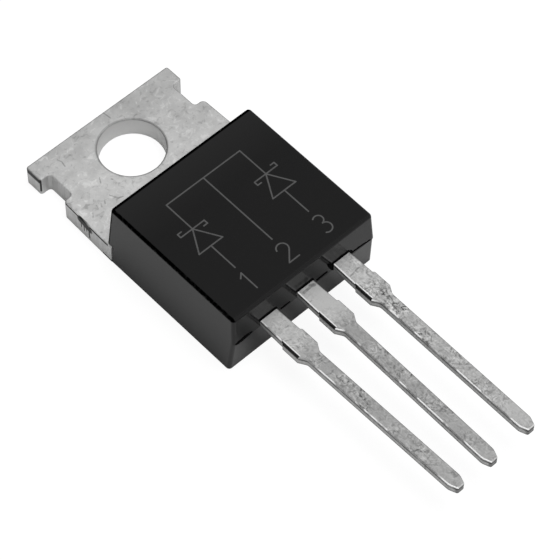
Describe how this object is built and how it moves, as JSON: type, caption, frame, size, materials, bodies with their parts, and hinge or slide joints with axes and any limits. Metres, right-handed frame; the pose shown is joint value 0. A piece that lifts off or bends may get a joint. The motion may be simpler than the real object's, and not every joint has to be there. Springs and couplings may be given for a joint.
{
  "type": "schottky diode",
  "caption": "Schottky rectifier diode in a black moulded power package, with a drilled metal tab, straight flat leads, and its dies, solder and bond wires inside.",
  "frame": {"origin": "on the axis of the tab's hole, in the plane of the tab's back face", "axes": "+Y along the part towards the tab's end, with the leads along -Y; +Z out of the front, away from the back face; +X to the right seen from the front with the tab up"},
  "size_m": [0.0102, 0.0298, 0.0044],
  "materials": {
    "moulding": "black epoxy moulding compound, satin",
    "plated_copper": "matt tin plate on copper strip",
    "silicon": "polished silicon with a metal top",
    "solder": "dull solder",
    "bond_wire": "bright drawn wire"
  },
  "bodies": {
    "root": {"moulded_body": "moulding", "heatsink_tab": "plated_copper", "left_lead": "plated_copper", "right_lead": "plated_copper", "left_die": "silicon", "right_die": "silicon", "left_die_solder": "solder", "right_die_solder": "solder", "left_outer_bond_wire": "bond_wire", "left_inner_bond_wire": "bond_wire", "right_inner_bond_wire": "bond_wire", "right_outer_bond_wire": "bond_wire"}
  },
  "joints": []
}
